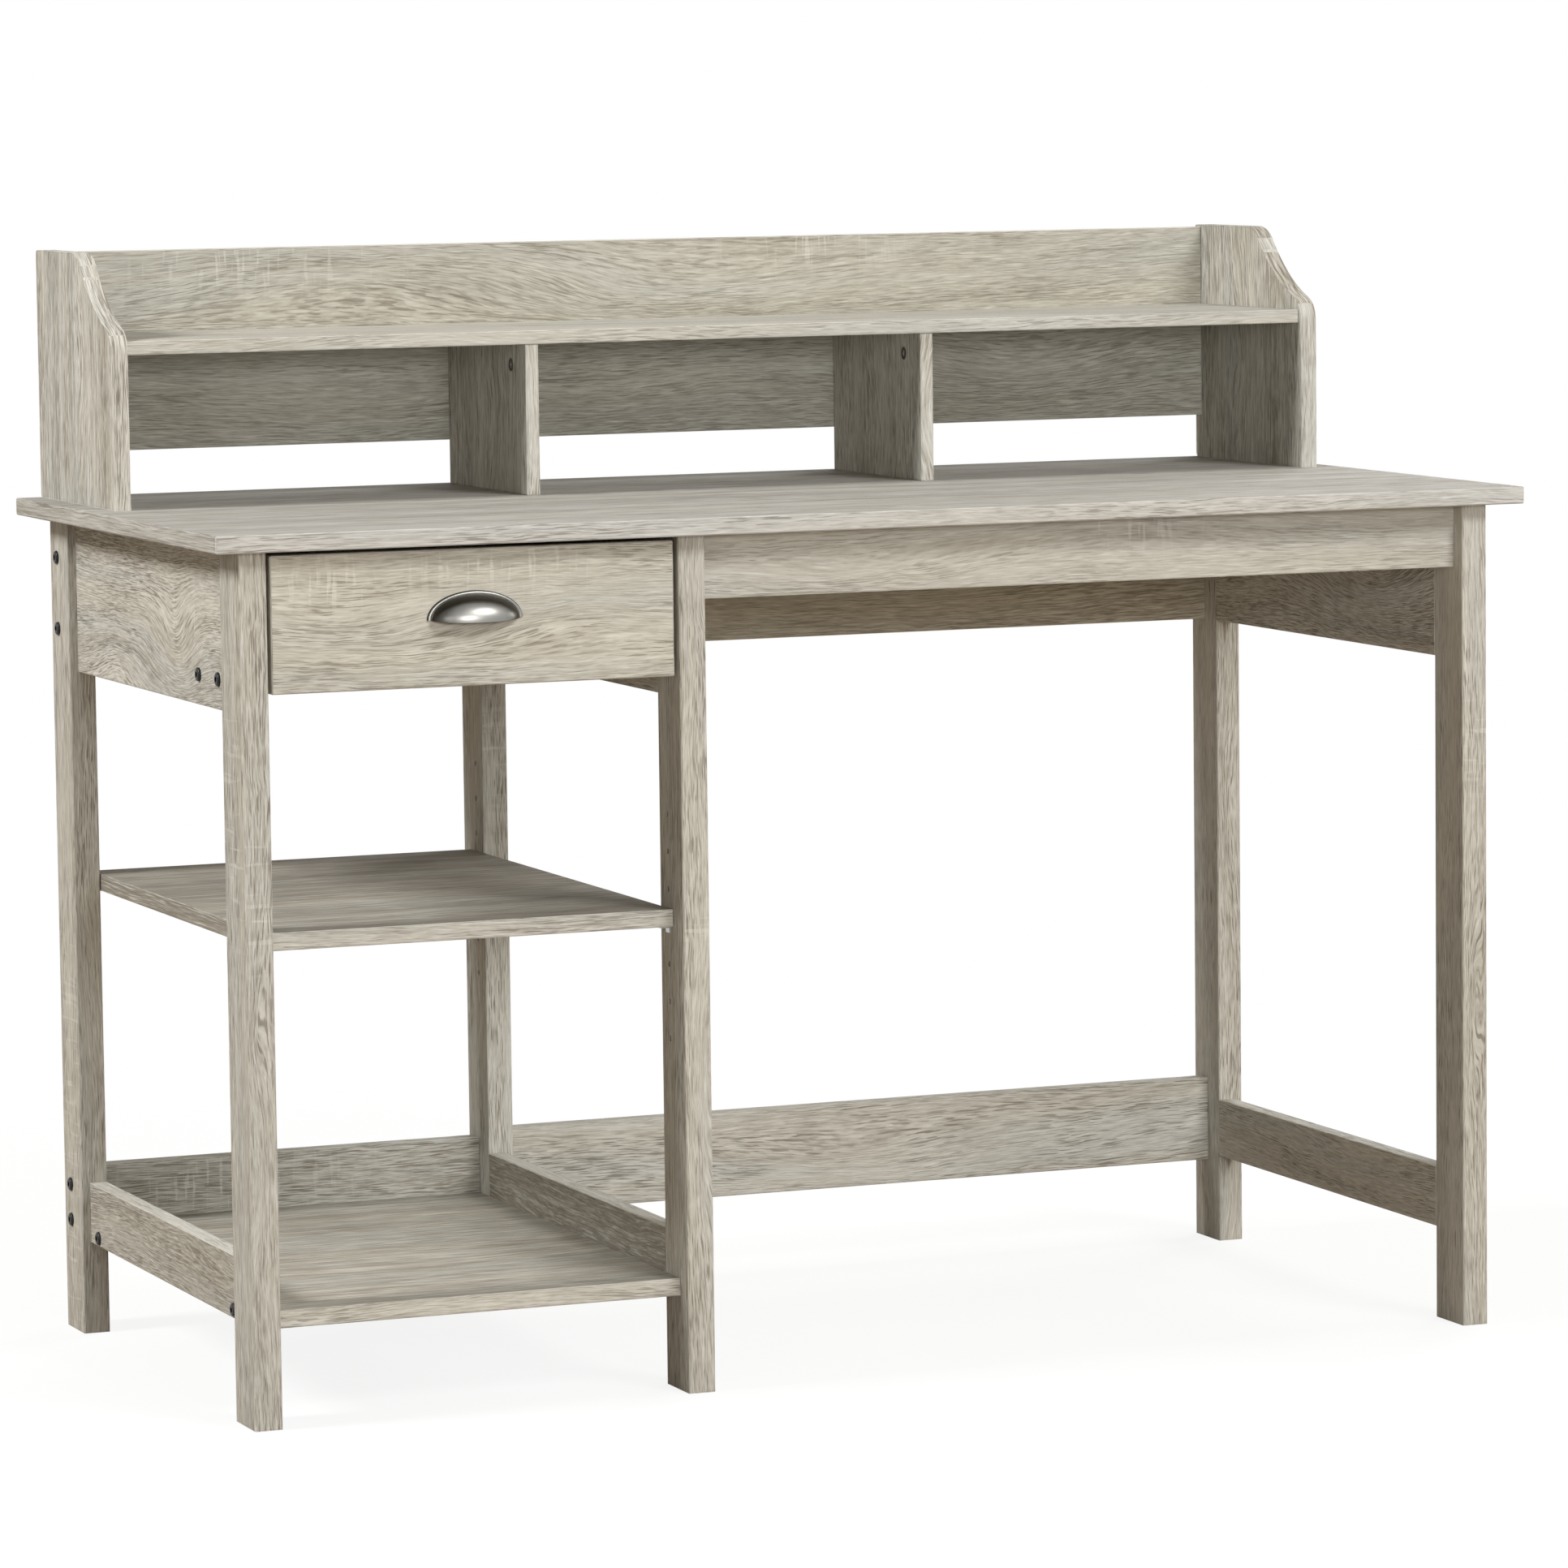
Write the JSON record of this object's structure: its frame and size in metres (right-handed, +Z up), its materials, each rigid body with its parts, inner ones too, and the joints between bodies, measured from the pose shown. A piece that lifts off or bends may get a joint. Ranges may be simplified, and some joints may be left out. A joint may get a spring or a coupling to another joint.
{
  "type": "student desk with hutch",
  "caption": "Writing desk with a drawer over open shelves on the left, an open knee space and a low cubby hutch along the back.",
  "frame": {"origin": "on the floor, midway along the desktop and midway between its front and rear edges", "axes": "+X from the drawer pedestal to the knee space, -Y towards the sitter, +Z up"},
  "size_m": [1.2, 0.592, 0.966],
  "materials": {
    "oak_top": "matt printed oak laminate, grey-washed",
    "oak_board": "matt printed oak laminate, grey-washed",
    "oak_drawer_front": "matt printed oak laminate, slightly warmer",
    "drawer_box_board": "matt foil on particle board",
    "hardboard": "smooth hardboard",
    "pull_metal": "dark satin nickel",
    "black_screw": "black oxide",
    "zinc_screw": "zinc plate",
    "cam_zinc": "die-cast zinc",
    "runner_steel": "off-white epoxy",
    "nylon_roller": "natural nylon"
  },
  "bodies": {
    "desk": {"desktop": "oak_top", "leg_front_left": "oak_board", "leg_rear_left": "oak_board", "leg_front_middle": "oak_board", "leg_rear_middle": "oak_board", "leg_front_right": "oak_board", "leg_rear_right": "oak_board", "left_apron": "oak_board", "middle_apron": "oak_board", "right_apron": "oak_board", "lower_left_rail": "oak_board", "lower_middle_rail": "oak_board", "lower_right_rail": "oak_board", "pedestal_back_apron": "oak_board", "pedestal_back_rail": "oak_board", "rear_apron": "oak_board", "rear_stretcher": "oak_board", "front_rail": "oak_board", "drawer_rail": "oak_board", "bottom_shelf": "oak_board", "middle_shelf": "oak_board", "hutch_side_left": "oak_board", "hutch_side_right": "oak_board", "hutch_shelf": "oak_board", "hutch_back": "oak_board", "hutch_divider_left": "oak_board", "hutch_divider_right": "oak_board", "left_frame_screws": "black_screw", "middle_frame_screws": "black_screw", "right_frame_screws": "black_screw", "shelf_pins": "zinc_screw", "hutch_cam_locks": "cam_zinc", "hutch_cam_bolts": "zinc_screw", "cabinet_runner_left": "runner_steel", "cabinet_runner_right": "runner_steel", "channel_screws": "zinc_screw"},
    "drawer": {"drawer_front": "oak_drawer_front", "drawer_side_left": "drawer_box_board", "drawer_side_right": "drawer_box_board", "drawer_back": "drawer_box_board", "drawer_bottom": "hardboard", "cup_pull": "pull_metal", "cup_pull_screws": "zinc_screw", "drawer_runner_left": "runner_steel", "drawer_runner_right": "runner_steel", "drawer_runner_screws": "zinc_screw"},
    "cabinet_roller_left": {"cabinet_roller_left": "nylon_roller"},
    "cabinet_roller_right": {"cabinet_roller_right": "nylon_roller"},
    "drawer_roller_left": {"drawer_roller_left": "nylon_roller"},
    "drawer_roller_right": {"drawer_roller_right": "nylon_roller"}
  },
  "joints": [
    {"name": "drawer_slide", "type": "slide", "parent": "desk", "child": "drawer", "axis": [0, -1, 0], "range_m": [0, 0.3]},
    {"name": "cabinet_roller_left_spin", "type": "hinge", "parent": "desk", "child": "cabinet_roller_left", "pos_m": [-0.5442, -0.242, 0.6431], "axis": [1, 0, 0], "range_deg": [0, 2050]},
    {"name": "cabinet_roller_right_spin", "type": "hinge", "parent": "desk", "child": "cabinet_roller_right", "pos_m": [-0.1938, -0.242, 0.6431], "axis": [1, 0, 0], "range_deg": [0, 2050]},
    {"name": "drawer_roller_left_spin", "type": "hinge", "parent": "drawer", "child": "drawer_roller_left", "pos_m": [-0.5442, 0.134, 0.6409], "axis": [1, 0, 0], "range_deg": [0, 2050]},
    {"name": "drawer_roller_right_spin", "type": "hinge", "parent": "drawer", "child": "drawer_roller_right", "pos_m": [-0.1938, 0.134, 0.6409], "axis": [1, 0, 0], "range_deg": [0, 2050]}
  ],
  "couplings": [
    {"joint": "cabinet_roller_left_spin", "follows": "drawer_slide", "rad_per_m": 119.05},
    {"joint": "cabinet_roller_right_spin", "follows": "drawer_slide", "rad_per_m": 119.05},
    {"joint": "drawer_roller_left_spin", "follows": "drawer_slide", "rad_per_m": 119.05},
    {"joint": "drawer_roller_right_spin", "follows": "drawer_slide", "rad_per_m": 119.05}
  ]
}
